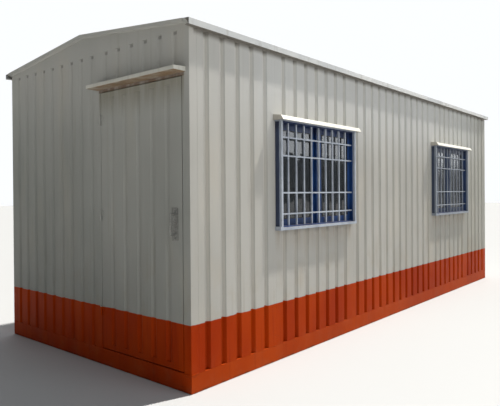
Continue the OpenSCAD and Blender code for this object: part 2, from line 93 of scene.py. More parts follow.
# Light
KEY_STRENGTH = 5.0
FILL_POWER = 170.0
SHEEN_POWER = 1700.0
SURROUND_DIM = 0.14
SURROUND_BRIGHT = 1.02
SURROUND_COLOUR = (0.96, 0.98, 1.0, 1)
BRIGHT_SIDE = (0.76, 0.65, 0.0)
TOWARDS_SUN = (0.450, -0.1465, 0.881)
SUN_COLOUR = (1.0, 0.965, 0.90)
SOFT_BOX_COLOUR = (0.92, 0.96, 1.0)
FLOOR_SHADE = (0.54, 0.55, 0.56, 1)
FLOOR_Z = -0.002

# Camera, as fitted to the edges of the cabin
CAMERA_PLACE = (-5.4363, -3.7826, 1.3151)
CAMERA_YAW = math.radians(40.115)
CAMERA_PITCH = math.radians(-0.335)
CAMERA_ROLL = math.radians(0.418)
CAMERA_LENS = 38.445
CAMERA_SHIFT = (-0.0097, -0.0137)


def shade(red, green, blue):
    """A colour given as screen values from 0 to 255."""
    def linear(value):
        value /= 255
        return value / 12.92 if value <= 0.04045 else ((value + 0.055) / 1.055) ** 2.4
    return (linear(red), linear(green), linear(blue), 1.0)


class Finish:
    """A painted or bare surface, built up in layers on the piece's own coordinates."""

    def __init__(self, name):
        self.material = bpy.data.materials.new(name)
        self.material.use_nodes = True
        self.tree = self.material.node_tree
        self.shader = self.tree.nodes["Principled BSDF"]
        self.place = self.tree.nodes.new("ShaderNodeTexCoord").outputs["Object"]
        split = self.tree.nodes.new("ShaderNodeSeparateXYZ")
        self.tree.links.new(self.place, split.inputs[0])
        self.x, self.y, self.z = split.outputs

    def feed(self, value, socket):
        if isinstance(value, bpy.types.NodeSocket):
            self.tree.links.new(value, socket)
        else:
            socket.default_value = value

    def sum(self, work, *values):
        node = self.tree.nodes.new("ShaderNodeMath")
        node.operation = work
        for value, socket in zip(values, node.inputs):
            self.feed(value, socket)
        return node.outputs[0]

    def cloud(self, scale, stretch=(1, 1, 1), detail=3.0, rough=0.55, shift=0.0):
        """Soft patches, stretched by squeezing the coordinates."""
        turn = self.tree.nodes.new("ShaderNodeMapping")
        turn.inputs["Scale"].default_value = stretch
        turn.inputs["Location"].default_value = (shift, shift, shift)
        self.tree.links.new(self.place, turn.inputs["Vector"])
        noise = self.tree.nodes.new("ShaderNodeTexNoise")
        noise.inputs["Scale"].default_value = scale
        noise.inputs["Detail"].default_value = detail
        noise.inputs["Roughness"].default_value = rough
        self.tree.links.new(turn.outputs[0], noise.inputs["Vector"])
        return noise.outputs[0]

    def step(self, value, low, high, start=0.0, end=1.0):
        """A soft step from start to end as value goes from low to high."""
        node = self.tree.nodes.new("ShaderNodeMapRange")
        node.interpolation_type = "SMOOTHSTEP"
        self.feed(value, node.inputs[0])
        for socket, number in zip(node.inputs[1:5], (low, high, start, end)):
            socket.default_value = number
        return node.outputs[0]

    def span(self, value, low, high, soft):
        """1 where value lies between low and high, with soft ends."""
        rise = self.step(value, low - soft, low + soft)
        fall = self.step(value, high + soft, high - soft)
        return self.both(rise, fall)

    def both(self, first, *others):
        """All of the shares together."""
        for other in others:
            first = self.sum("MULTIPLY", first, other)
        return first

    def either(self, first, second):
        return self.sum("MAXIMUM", first, second)

    def size(self, value):
        """The value without its sign."""
        return self.sum("ABSOLUTE", value)

    def spread(self, value, amount, base):
        """Base, raised by up to amount as value goes from 0 to 1."""
        return self.sum("MULTIPLY_ADD", value, amount, base)

    def coat(self, under, over, share):
        """One colour laid over another, where share is 1."""
        node = self.tree.nodes.new("ShaderNodeMix")
        node.data_type = "RGBA"
        self.feed(share, node.inputs[0])
        self.feed(under, node.inputs[6])
        self.feed(over, node.inputs[7])
        return node.outputs[2]

    def facing(self, axis, low, high):
        """1 where the surface looks along an axis, as its normal there goes from low to high."""
        node = self.tree.nodes.new("ShaderNodeNewGeometry")
        split = self.tree.nodes.new("ShaderNodeSeparateXYZ")
        self.tree.links.new(node.outputs["Normal"], split.inputs[0])
        return self.step(split.outputs[axis], low, high)

    def facing_down(self):
        return self.facing(2, -0.15, -0.45)

    def facing_up(self):
        return self.facing(2, 0.3, 0.8)

    def relief(self, height, depth, strength=1.0, under=None):
        node = self.tree.nodes.new("ShaderNodeBump")
        node.inputs["Strength"].default_value = strength
        node.inputs["Distance"].default_value = depth
        self.tree.links.new(height, node.inputs["Height"])
        if under is not None:
            self.tree.links.new(under, node.inputs["Normal"])
        return node.outputs[0]

    def done(self, colour, rough, relief=None, **constants):
        self.feed(colour, self.shader.inputs["Base Color"])
        self.feed(rough, self.shader.inputs["Roughness"])
        if relief is not None:
            self.tree.links.new(relief, self.shader.inputs["Normal"])
        for name, value in constants.items():
            self.shader.inputs[name.replace("_", " ")].default_value = value
        return self.material


RUST = shade(104, 52, 24)
ROAD_DUST = shade(150, 124, 98)
# Painted shade under the eaves, on the tops of the long walls and on the undersides of the eave trims
EAVE_SHADE = shade(98, 92, 84)
# Between these places along the wall the far window's paint turns greyer and its glass rougher
FAR_WINDOW_FADE = (0.2, 0.9)


def orange_layers(f):
    """Red-orange enamel on the lower band, sun faded in patches and dusty near the ground."""
    patches = f.step(f.cloud(2.1, (1, 1, 0.4)), 0.35, 0.68)
    body = f.coat(shade(168, 56, 0), shade(152, 44, 0), patches)
    faded = f.step(f.cloud(5.0, (1, 1, 0.25), shift=4.0), 0.52, 0.78)
    body = f.coat(body, shade(176, 68, 8), f.both(faded, 0.45))
    run = f.step(f.cloud(26.0, (1, 1, 0.06), detail=2.0, shift=9.0), 0.56, 0.74)
    body = f.coat(body, shade(118, 28, 8), f.both(run, 0.35))
    splash = f.both(f.step(f.z, 0.30, 0.02), f.step(f.cloud(11.0, shift=2.0), 0.42, 0.72))
    return f.coat(body, ROAD_DUST, f.both(splash, 0.08))


def rust_specks(f, under, where):
    spots = f.step(f.cloud(75.0, detail=2.0, shift=5.0), 0.67, 0.74)
    patch = f.step(f.cloud(6.0, shift=13.0), 0.50, 0.66)
    return f.coat(under, RUST, f.both(spots, patch, where))


def sheet_relief(f):
    """Slight waves in the pressed sheet, and the fine skin of brushed enamel."""
    waves = f.relief(f.cloud(2.6, (1, 1, 0.35), detail=1.0, shift=3.0), 0.010, 0.30)
    return f.relief(f.cloud(420.0, detail=1.0), 0.0004, 0.22, under=waves)


def groove_depth(f):
    """1 on the floor of a wall groove and 0 at the face of the wall."""
    from_side = f.sum("SUBTRACT", HALF_W, f.size(f.y))
    from_end = f.sum("SUBTRACT", HALF_L, f.size(f.x))
    return f.step(f.sum("MINIMUM", from_side, from_end), 0.004, 0.012)


def beside_window(f):
    """Distance along the wall from the middle of the nearest window."""
    return f.size(f.sum("SUBTRACT", f.size(f.x), WINDOW_MIDDLES[1]))


def sill_runs(f, under):
    """Brown runs on the window side, below the sills."""
    front = f.step(f.y, -HALF_W + 0.03, -HALF_W + 0.02)
    width = f.step(beside_window(f), WINDOW_W / 2 + 0.04, WINDOW_W / 2 - 0.03)
    height = f.both(f.step(f.z, SILL_Z - 0.22, SILL_Z - 0.03), f.step(f.z, SILL_Z + 0.05, SILL_Z))
    drawn = f.step(f.cloud(24.0, (1, 1, 0.08), detail=2.0, shift=14.0), 0.3, 0.7, 0.3, 1.0)
    return f.coat(under, shade(140, 118, 88), f.both(front, width, height, drawn, 0.34))


def door_end_shade_and_stain(f, under):
    """Painted shade on the door end: a grey film over its cream, painted shadow in the tops of its
    grooves and in the gap over the door, and brown stain with painted shade below the hood of the door.
    """
    end = f.step(f.x, -HALF_L + 0.017, -HALF_L + 0.014)
    end = f.both(end, f.step(f.size(f.y), HALF_W - 0.001, HALF_W - 0.004))
    # Painted shade: a grey-green film over the cream of the door end
    film = f.step(f.cloud(1.8, (1, 1, 0.6), shift=15.0), 0.3, 0.7, 0.75, 1.0)
    thin_at_top = f.step(f.z, 2.45, 1.6, 0.35, 1.0)
    thin_at_door = f.step(f.y, DOORWAY[1] + 0.1, DOORWAY[1] - 0.1, 1.0, 0.75)
    cream_part = f.both(end, f.step(f.z, BAND_TOP - 0.004, BAND_TOP + 0.004))
    grey = f.both(cream_part, film, thin_at_top, thin_at_door, 0.42)
    colour = f.coat(under, shade(100, 113, 110), grey)
    # Brown stain together with painted shade below the hood of the door
    doorway = f.both(end, f.span(f.y, DOORWAY[0] - 0.02, DOORWAY[1] + 0.02, 0.01))
    drawn = f.step(f.cloud(17.0, (1, 1, 0.12), detail=2.0, shift=12.0), 0.25, 0.65, 0.45, 1.0)
    below_head_stain_and_shade = f.both(f.step(f.z, DOOR_TOP - 0.24, DOOR_TOP), f.step(f.z, DOOR_TOP + 0.02, DOOR_TOP))
    colour = f.coat(colour, shade(112, 108, 84), f.both(doorway, below_head_stain_and_shade, drawn, 0.55))
    # Painted shadow in the gap over the door
    head_gap_shadow = f.span(f.z, DOOR_TOP, DOOR_TOP + 0.03, 0.003)
    colour = f.coat(colour, shade(92, 66, 44), f.both(doorway, head_gap_shadow, drawn, 0.8))
    # Painted shadow in the tops of the grooves, under the gable plate
    groove_top_shadows = f.span(f.z, PLATE_FOOT - 0.022, PLATE_FOOT, 0.007)
    return f.coat(colour, shade(44, 42, 40), f.both(end, groove_depth(f), groove_top_shadows, 0.4))


def cream_wall_paint():
    f = Finish("cream_wall_paint_over_orange_band")
    orange = orange_layers(f)
    patches = f.step(f.cloud(1.3, (1, 1, 0.5)), 0.35, 0.68)
    cream = f.coat(shade(179, 177, 171), shade(169, 167, 161), patches)
    yellowed = f.step(f.cloud(3.4, (1, 1, 0.3), shift=6.0), 0.5, 0.75)
    cream = f.coat(cream, shade(186, 180, 168), f.both(yellowed, 0.5))
    runs = f.step(f.cloud(21.0, (1, 1, 0.035), detail=2.0, shift=1.0), 0.54, 0.75)
    runs = f.both(runs, f.step(f.cloud(1.6, shift=8.0), 0.42, 0.62))
    cream = f.coat(cream, shade(150, 145, 132), f.both(runs, 0.34))
    # Painted shade: the wall grows darker towards the far end, in patches
    uneven_far_shade = f.step(f.cloud(2.2, shift=17.0), 0.3, 0.65, 0.7, 1.0)
    far_end_shade = f.step(f.x, 0.6, 2.9)
    cream = f.coat(cream, shade(146, 146, 134), f.both(far_end_shade, uneven_far_shade, 0.42))
    mud = f.both(f.step(f.z, 1.15, 0.46), f.step(f.cloud(8.0, (1, 1, 0.6), shift=7.0), 0.46, 0.72))
    cream = f.coat(cream, shade(164, 150, 128), f.both(mud, 0.26))
    # Painted light: the upper wall is paler and cooler, fading out near the ends
    upper = f.both(f.step(f.z, 1.5, 2.15), f.step(f.size(f.x), 2.9, 2.1, 0.25, 1.0))
    cream = f.coat(cream, shade(208, 210, 210), f.both(upper, 0.45))
    cream = sill_runs(f, cream)
    long_side = f.step(f.size(f.x), HALF_L - 0.03, HALF_L - 0.05)
    # Painted light: the floors of the grooves on the long sides are paler, lifting their shade
    cream = f.coat(cream, shade(226, 222, 212), f.both(long_side, groove_depth(f), 0.25))
    # Painted shade: a dark band along the tops of the long walls, under the eaves
    eave_shadow_band = f.step(f.z, BEAM_TOP - 0.075, BEAM_TOP - 0.03)
    cream = f.coat(cream, EAVE_SHADE, f.both(long_side, eave_shadow_band, 0.7))
    edge = f.spread(f.cloud(9.0, detail=2.0), 0.012, BAND_TOP - 0.006)
    band = f.step(f.sum("SUBTRACT", f.z, edge), -0.0025, 0.0025)
    colour = f.coat(orange, cream, band)
    colour = door_end_shade_and_stain(f, colour)
    colour = rust_specks(f, colour, f.step(f.z, 0.55, 0.12, 0.12, 0.85))
    rough = f.spread(f.cloud(7.0, shift=11.0), 0.22, 0.42)
    return f.done(colour, rough, sheet_relief(f), Specular_IOR_Level=0.05)


def orange_base_paint():
    f = Finish("orange_base_frame_paint")
    colour = orange_layers(f)
    # Sun-faded paint together with painted light: lighter orange everywhere but on the shaded door end
    faded_and_lit_sides = f.step(f.x, -HALF_L + 0.001, -HALF_L + 0.006, 0.0, 0.35)
    colour = f.coat(colour, shade(174, 70, 2), faded_and_lit_sides)
    scrape = f.step(f.cloud(60.0, (0.08, 0.08, 1.0), detail=2.0, shift=3.0), 0.66, 0.76)
    patch = f.step(f.cloud(2.2, shift=4.0), 0.5, 0.62)
    colour = f.coat(colour, shade(104, 44, 26), f.both(scrape, patch))
    low_edge = f.step(f.z, 0.022, 0.002)
    rust = f.both(low_edge, f.step(f.cloud(16.0, shift=2.0), 0.45, 0.62))
    colour = f.coat(colour, RUST, f.both(rust, 0.8))
    colour = rust_specks(f, colour, 0.8)
    rough = f.spread(f.cloud(9.0, shift=11.0), 0.25, 0.42)
    skin = f.relief(f.cloud(300.0, detail=2.0), 0.0006, 0.3)
    return f.done(colour, rough, skin, Specular_IOR_Level=0.06)


def pale_roof_coat():
    f = Finish("pale_grey_roof_coat")
    colour = f.coat(shade(205, 205, 202), shade(188, 190, 190), f.step(f.cloud(2.0), 0.35, 0.7))
    runs = f.step(f.cloud(16.0, (1.0, 0.06, 0.3), detail=2.0, shift=2.0), 0.52, 0.74)
    colour = f.coat(colour, shade(146, 142, 132), f.both(runs, 0.42))
    leaf_dust = f.both(f.facing_up(), f.step(f.cloud(5.0, shift=6.0), 0.5, 0.72))
    colour = f.coat(colour, ROAD_DUST, f.both(leaf_dust, 0.22))
    # Painted shade on every face that looks down
    colour = f.coat(colour, shade(150, 148, 138), f.both(f.facing_down(), 0.55))
    out = f.size(f.y)
    # Painted shade, darker still, on the undersides of the eaves
    eave = f.step(out, HALF_W - 0.002, HALF_W + 0.002)
    colour = f.coat(colour, EAVE_SHADE, f.both(f.facing_down(), eave, 0.85))
    # Painted shade, near black, in the hollow ends of the eave trims
    end = f.step(f.size(f.x), ROOF_HALF_L - 0.12, ROOF_HALF_L - 0.04)
    upright = f.both(f.facing(2, 0.8, 0.3), f.facing(2, -0.8, -0.3))
    shaded_hollow = f.span(out, HALF_W + 0.012, HALF_W + EAVE_OUT - 0.0035, 0.001)
    colour = f.coat(colour, shade(30, 34, 33), f.both(end, upright, shaded_hollow, 0.9))
    colour = rust_specks(f, colour, 0.35)
    rough = f.spread(f.cloud(8.0, shift=5.0), 0.25, 0.36)
    dents = f.relief(f.cloud(3.5, detail=1.0, shift=8.0), 0.008, 0.3)
    skin = f.relief(f.cloud(380.0, detail=1.0), 0.0004, 0.2, under=dents)
    return f.done(colour, rough, skin, Specular_IOR_Level=0.4)


def white_hood_coat():
    f = Finish("white_hood_coat")
    colour = f.coat(shade(240, 238, 230), shade(226, 224, 214), f.step(f.cloud(4.0), 0.4, 0.7))
    drip = f.step(f.cloud(40.0, (1, 1, 0.08), detail=2.0, shift=3.0), 0.54, 0.72)
    colour = f.coat(colour, shade(178, 168, 148), f.both(drip, 0.35))
    # Painted shade: the hood over the door is greyed
    at_door = f.step(f.x, -HALF_L + 0.004, -HALF_L - 0.004)
    colour = f.coat(colour, shade(138, 138, 126), f.both(at_door, 0.5))
    # Painted shade on the end faces of the window hoods
    ends = f.either(f.facing(0, -0.3, -0.8), f.facing(0, 0.3, 0.8))
    at_window = f.step(f.x, -HALF_L, -HALF_L + 0.3)
    colour = f.coat(colour, shade(120, 110, 96), f.both(ends, at_window, 0.6))
    # Brown stain and painted shade on the undersides, lighter at the door
    stain_and_underside_shade = f.step(f.cloud(9.0, shift=7.0), 0.3, 0.62, 0.55, 1.0)
    brown = f.coat(shade(126, 102, 76), shade(140, 114, 86), at_door)
    colour = f.coat(colour, brown, f.both(f.facing_down(), stain_and_underside_shade))
    colour = rust_specks(f, colour, 0.5)
    rough = f.spread(f.cloud(10.0, shift=5.0), 0.2, 0.34)
    skin = f.relief(f.cloud(350.0, detail=1.0), 0.0004, 0.2)
    return f.done(colour, rough, skin, Specular_IOR_Level=0.4)


def grey_grille_enamel():
    f = Finish("pale_grey_grille_enamel")
    colour = f.coat(shade(168, 175, 186), shade(148, 155, 167), f.step(f.cloud(6.0), 0.38, 0.68))
    worn = f.step(f.cloud(34.0, detail=3.0, shift=4.0), 0.60, 0.72)
    colour = f.coat(colour, shade(122, 126, 136), f.both(worn, 0.5))
    spots = f.step(f.cloud(120.0, detail=2.0, shift=8.0), 0.66, 0.74)
    spots = f.both(spots, f.step(f.cloud(9.0, shift=2.0), 0.46, 0.62))
    colour = f.coat(colour, RUST, f.both(spots, 0.8))
    dust = f.both(f.facing_up(), 0.4)
    colour = f.coat(colour, ROAD_DUST, dust)
    colour = f.coat(colour, shade(100, 107, 118), f.step(f.x, *FAR_WINDOW_FADE, 0.0, 0.55))
    rough = f.spread(f.cloud(20.0, shift=5.0), 0.25, 0.33)
    skin = f.relief(f.cloud(500.0, detail=1.0), 0.0004, 0.3)
    return f.done(colour, rough, skin, Specular_IOR_Level=0.45)


def blue_window_enamel():
    f = Finish("blue_window_enamel")
    colour = f.coat(shade(34, 67, 120), shade(25, 52, 97), f.step(f.cloud(5.0), 0.36, 0.66))
    chalk = f.step(f.cloud(15.0, (1, 1, 0.3), shift=4.0), 0.52, 0.74)
    colour = f.coat(colour, shade(60, 94, 150), f.both(chalk, 0.35))
    # Painted shade on the outer sides of the window frames
    shaded_outer_sides = f.step(beside_window(f), WINDOW_W / 2 - 0.004, WINDOW_W / 2 - 0.001)
    colour = f.coat(colour, shade(66, 70, 80), f.both(shaded_outer_sides, 0.75))
    # Painted shade along the heads of the windows, under the hoods
    head_shade = f.step(f.z, SILL_Z + WINDOW_H - 0.13, SILL_Z + WINDOW_H - 0.06)
    colour = f.coat(colour, shade(34, 34, 50), f.both(head_shade, 0.65))
    dust = f.both(f.facing_up(), f.step(f.cloud(22.0, shift=3.0), 0.35, 0.6))
    colour = f.coat(colour, ROAD_DUST, f.both(dust, 0.45))
    colour = f.coat(colour, shade(70, 78, 92), f.step(f.x, *FAR_WINDOW_FADE, 0.0, 0.5))
    rough = f.spread(f.cloud(18.0, shift=7.0), 0.22, 0.28)
    skin = f.relief(f.cloud(600.0, detail=1.0), 0.0003, 0.25)
    return f.done(colour, rough, skin, Specular_IOR_Level=0.2)


def smoked_glass():
    f = Finish("smoked_window_glass")
    film = f.step(f.cloud(7.0, (1, 1, 0.5), detail=5.0), 0.45, 0.8)
    runs = f.step(f.cloud(38.0, (1, 1, 0.05), detail=2.0, shift=3.0), 0.58, 0.76)
    colour = f.coat(shade(92, 98, 104), shade(120, 118, 110), f.both(film, 0.5))
    dust = f.step(f.x, *FAR_WINDOW_FADE, 0.015, 0.13)
    rough = f.spread(f.either(film, runs), 0.10, dust)
    ripple = f.relief(f.cloud(9.0, detail=1.0, shift=2.0), 0.004, 0.3)
    return f.done(
        colour, rough, ripple, Transmission_Weight=0.72, IOR=1.48, Specular_IOR_Level=0.45
    )


def cream_lining_board():
    f = Finish("cream_lining_board")
    grain = f.cloud(30.0, (1, 1, 0.04), detail=4.0)
    colour = f.coat(shade(222, 214, 196), shade(204, 192, 170), f.step(grain, 0.36, 0.68))
    scuff = f.both(f.step(f.z, 1.2, 0.2), f.step(f.cloud(13.0, shift=4.0), 0.56, 0.70))
    colour = f.coat(colour, shade(150, 138, 120), f.both(scuff, 0.4))
    rough = f.spread(grain, 0.18, 0.45)
    return f.done(colour, rough, f.relief(grain, 0.0006, 0.3))


def brown_floor_sheet():
    f = Finish("brown_vinyl_floor_sheet")
    speck = f.step(f.cloud(160.0, detail=2.0), 0.42, 0.66)
    colour = f.coat(shade(128, 100, 74), shade(98, 74, 54), speck)
    in_line_with_door = f.step(f.size(f.sum("ADD", f.y, 0.5)), 0.9, 0.2)
    tread = f.step(f.cloud(4.0), 0.35, 0.6)
    colour = f.coat(colour, shade(146, 128, 106), f.both(in_line_with_door, tread, 0.45))
    rough = f.spread(f.cloud(12.0, shift=3.0), 0.3, 0.35)
    return f.done(colour, rough, f.relief(f.cloud(220.0), 0.0005, 0.35))


def worn_steel():
    f = Finish("worn_zinc_steel")
    spangle = f.cloud(90.0, detail=1.0)
    colour = f.coat(shade(140, 140, 135), shade(122, 122, 118), f.step(spangle, 0.38, 0.64))
    rub = f.step(f.cloud(260.0, (1, 1, 0.1), detail=1.0, shift=3.0), 0.52, 0.68)
    colour = f.coat(colour, shade(160, 160, 156), f.both(rub, 0.4))
    bloom = f.both(f.step(f.cloud(40.0, shift=5.0), 0.6, 0.72), 0.3)
    colour = f.coat(colour, RUST, bloom)
    rough = f.spread(spangle, 0.3, 0.4)
    skin = f.relief(f.cloud(500.0, (1, 1, 0.2)), 0.0003, 0.3)
    return f.done(colour, rough, skin, Metallic=0.3)


def black_rubber():
    f = Finish("black_glazing_rubber")
    bloom = f.step(f.cloud(50.0), 0.45, 0.75)
    colour = f.coat(shade(26, 26, 28), shade(58, 56, 54), f.both(bloom, 0.6))
    rough = f.spread(bloom, 0.2, 0.55)
    return f.done(colour, rough, f.relief(f.cloud(700.0), 0.0003, 0.3))


FINISHES = {
    "base_paint": orange_base_paint(),
    "wall_paint": cream_wall_paint(),
    "roof_paint": pale_roof_coat(),
    "hood_paint": white_hood_coat(),
    "grille_paint": grey_grille_enamel(),
    "window_paint": blue_window_enamel(),
    "window_glass": smoked_glass(),
    "lining_board": cream_lining_board(),
    "floor_finish": brown_floor_sheet(),
    "bare_steel": worn_steel(),
}
RUBBER = black_rubber()

for subpart in frame["record"]["subparts"]:
    node = frame["nodes"][subpart["node"]]
    if not node.material_slots:
        node.data.materials.append(None)
    for slot in node.material_slots:
        slot.material = FINISHES[subpart["material_slot"]]

# The hinges were brushed over with the wall
for name in ("door_hinge_lower_halves", "door_hinge_upper_halves"):
    for slot in frame["nodes"][name].material_slots:
        slot.material = FINISHES["wall_paint"]


def soften(name, width):
    """Rolled or ground edges on a piece that was built with sharp ones."""
    node = frame["nodes"][name]
    weld = node.modifiers.new("joined_faces", "WELD")
    weld.merge_threshold = 0.00002
    flat = node.modifiers.new("flat_faces", "DECIMATE")
    flat.decimate_type = "DISSOLVE"
    flat.angle_limit = math.radians(0.5)
    edge = node.modifiers.new("rolled_edges", "BEVEL")
    edge.width = width
    edge.segments = 2
    edge.limit_method = "ANGLE"
    edge.angle_limit = math.radians(30)
    edge.harden_normals = True


for name, width in (
    ("base_side_rails", 0.003), ("base_end_rails", 0.003), ("corner_posts", 0.003),
    ("window_posts", 0.0015), ("door_post", 0.0015), ("door_leaf", 0.0015),
    ("window_frames", 0.001), ("window_outer_sashes", 0.002), ("window_inner_sashes", 0.002),
    ("door_handle", 0.001), ("eave_trims", 0.001), ("barge_trims", 0.001),
    ("window_hoods", 0.001), ("door_hood", 0.001),
):
    soften(name, width)


def block(bm, low, high, edge=0.0):
    """A box between two corners, with its edges rounded."""
    low, high = Vector(low), Vector(high)
    made = bmesh.ops.create_cube(bm, size=1.0)["verts"]
    bmesh.ops.scale(bm, vec=high - low, verts=made)
    bmesh.ops.translate(bm, vec=(low + high) / 2, verts=made)
    if edge:
        edges = {e for v in made for e in v.link_edges}
        bmesh.ops.bevel(
            bm, geom=list(edges), offset=edge, affect="EDGES", segments=2, profile=0.5, material=-1
        )


def turned(bm, seat, axis, rings, sides=10):
    """A round piece on its seat, as (height, radius) rings along its axis."""
    ring = bmesh.ops.create_circle(bm, cap_ends=True, segments=sides, radius=rings[0][1])
    made = list(ring["verts"])
    edges = list({e for v in made for e in v.link_edges})
    height, radius = rings[0]
    bmesh.ops.translate(bm, vec=(0, 0, height), verts=made)
    for next_height, next_radius in rings[1:]:
        grown = bmesh.ops.extrude_edge_only(bm, edges=edges)["geom"]
        verts = [g for g in grown if isinstance(g, bmesh.types.BMVert)]
        lines = [g for g in grown if isinstance(g, bmesh.types.BMEdge)]
        edges = [e for e in lines if all(v in verts for v in e.verts)]
        share = next_radius / radius
        bmesh.ops.scale(bm, vec=(share, share, 1), verts=verts)
        bmesh.ops.translate(bm, vec=(0, 0, next_height - height), verts=verts)
        made += verts
        height, radius = next_height, next_radius
    bmesh.ops.contextual_create(bm, geom=edges)
    turn = Vector((0, 0, 1)).rotation_difference(Vector(axis)).to_matrix().to_4x4()
    bmesh.ops.transform(bm, matrix=Matrix.Translation(seat) @ turn, verts=made)


def bead(bm, start, end, radius=0.003):
    """A run of weld: overlapping drops from start to end."""
    start, end = Vector(start), Vector(end)
    drops = max(2, round((end - start).length / (1.5 * radius)))
    for i in range(drops):
        place = start.lerp(end, (i + 0.5) / drops)
        swell = radius * (1 + 0.18 * math.sin(2.3 * i + 40 * place.z + 25 * place.x))
        at = Matrix.Translation(place)
        bmesh.ops.create_icosphere(bm, subdivisions=1, radius=swell, matrix=at)


def fit(name, bm, body, finish, smooth=False):
    """Makes the finished piece, in place, and fixes it to its body."""
    bmesh.ops.recalc_face_normals(bm, faces=bm.faces[:])
    mesh = bpy.data.meshes.new(name)
    bm.to_mesh(mesh)
    bm.free()
    if smooth:
        for face in mesh.polygons:
            face.use_smooth = True
    piece = bpy.data.objects.new(name, mesh)
    bpy.context.scene.collection.objects.link(piece)
    mesh.materials.append(finish)
    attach(piece, body)
    return piece


def fit_painted(name, bm, body, slot, smooth=False):
    return fit(name, bm, body, FINISHES[slot], smooth)


def rib_crest(y):
    """Height of the crests of the roof ribs at a distance from the ridge line."""
    rise = (HALF_W - abs(y)) * math.tan(ROOF_SLOPE)
    return BEAM_TOP + TAPE + rise + RIB_H / math.cos(ROOF_SLOPE)


def roof_up(y):
    side = 1 if y > 0 else -1
    return (0, side * math.sin(ROOF_SLOPE), math.cos(ROOF_SLOPE))


# Rings of the round fittings, as (height, radius)
SCREW_RINGS = (
    (0, 0.011), (0.0015, 0.011), (0.0025, 0.0075), (0.0025, 0.006), (0.007, 0.0056), (0.0075, 0.0045),
)
RIVET_RINGS = ((0, 0.0055), (0.0012, 0.005), (0.0022, 0.003))
CATCH_RINGS = ((0, 0.009), (0.008, 0.009), (0.010, 0.007))
PLATE_SCREW_RINGS = ((0, 0.0045), (0.0012, 0.0042), (0.0018, 0.003))
LOCK_RINGS = (
    (0, 0.013), (0.003, 0.013), (0.0045, 0.0115), (0.0045, 0.008), (0.008, 0.008), (0.009, 0.007),
)


def add_roof_screws():
    bm = bmesh.new()
    for i in range(1, RIB_BAYS):
        x = -ROOF_HALF_L + i * RIB_STEP
        for y in SCREW_ROWS:
            turned(bm, (x, y, rib_crest(y)), roof_up(y), SCREW_RINGS, sides=8)
        for y in CAP_SCREW_ROWS if i % 2 else ():
            seat = rib_crest(y) + TAPE + SHEET_T / math.cos(ROOF_SLOPE)
            turned(bm, (x, y, seat), roof_up(y), SCREW_RINGS, sides=8)
    fit_painted("roof_screws", bm, "cabin", "bare_steel")


def add_trim_rivets():
    bm = bmesh.new()
    fold_top = TAPE + SHEET_T / math.cos(ROOF_SLOPE)
    for i in range(1, RIB_BAYS, 2):
        x = -ROOF_HALF_L + i * RIB_STEP
        for y in EAVE_RIVET_ROWS:
            turned(bm, (x, y, rib_crest(y) + fold_top), roof_up(y), RIVET_RINGS)
    for x in (0.018 - ROOF_HALF_L, ROOF_HALF_L - 0.018):
        for step in range(1, 6):
            for side in (-1, 1):
                y = side * (BARGE_RIVET_STEP * step - 0.02)
                turned(bm, (x, y, rib_crest(y) + fold_top), roof_up(y), RIVET_RINGS)
    fit_painted("trim_rivets", bm, "cabin", "roof_paint", smooth=True)


def add_post_welds():
    """Weld runs at the feet of the posts, on the top of the base channels."""
    bm = bmesh.new()
    for x_side in (-1, 1):
        for y_side in (-1, 1):
            x, y = x_side * HALF_L, y_side * HALF_W
            bead(bm, (x, y, RAIL_TOP), (x - x_side * WALL_T, y, RAIL_TOP))
            bead(bm, (x, y, RAIL_TOP), (x, y - y_side * WALL_T, RAIL_TOP))
    for middle in WINDOW_MIDDLES:
        for side in (-1, 1):
            near, far = middle + side * WINDOW_W / 2, middle + side * (WINDOW_W / 2 + 0.04)
            bead(bm, (near, -HALF_W, RAIL_TOP), (far, -HALF_W, RAIL_TOP))
    bead(bm, (-HALF_L, DOORWAY[1], RAIL_TOP), (-HALF_L, DOORWAY[1] + 0.045, RAIL_TOP))
    fit_painted("post_foot_welds", bm, "cabin", "base_paint", smooth=True)


def add_grille_welds():
    """Weld runs where the grille lugs meet the window posts."""
    bm = bmesh.new()
    for middle in WINDOW_MIDDLES:
        for side in (-1, 1):
            x = middle + side * (WINDOW_W / 2 + 0.0065)
            for z in (SILL_Z, SILL_Z + WINDOW_H - LUG_H):
                bead(bm, (x, -HALF_W, z), (x, -HALF_W, z + LUG_H), radius=0.0035)
    fit_painted("grille_lug_welds", bm, "cabin", "grille_paint", smooth=True)


def rubber_frame(bm, left, right, low, high, face, out):
    """A strip of rubber round a pane, standing out from one face of the glass."""
    middle = Vector(((left + right) / 2, face, (low + high) / 2))
    made = bmesh.ops.create_grid(bm, x_segments=1, y_segments=1, size=0.5)["verts"]
    bmesh.ops.scale(bm, vec=(right - left, high - low, 1), verts=made)
    upright = Matrix.Rotation(math.radians(90), 3, "X")
    bmesh.ops.rotate(bm, cent=(0, 0, 0), matrix=upright, verts=made)
    bmesh.ops.translate(bm, vec=middle, verts=made)
    sheet = list({face for v in made for face in v.link_faces})
    rim = bmesh.ops.inset_region(
        bm, faces=sheet, use_boundary=True, use_even_offset=True, thickness=RUBBER_W
    )["faces"]
    bmesh.ops.delete(bm, geom=sheet, context="FACES")
    grown = bmesh.ops.extrude_face_region(bm, geom=rim)["geom"]
    lifted = [g for g in grown if isinstance(g, bmesh.types.BMVert)]
    bmesh.ops.translate(bm, vec=(0, out, 0), verts=lifted)


def sash_lights():
    """Left, right and sash face of each pane. The inner sash is on the left, the outer on the right."""
    for middle in WINDOW_MIDDLES:
        left, right = middle - WINDOW_W / 2 + TRACK_INSET, middle + WINDOW_W / 2 - TRACK_INSET
        yield left + SASH_STILE, left + SASH_W - MEETING_STILE, INNER_SASH_FACE
        yield right - SASH_W + MEETING_STILE, right - SASH_STILE, OUTER_SASH_FACE


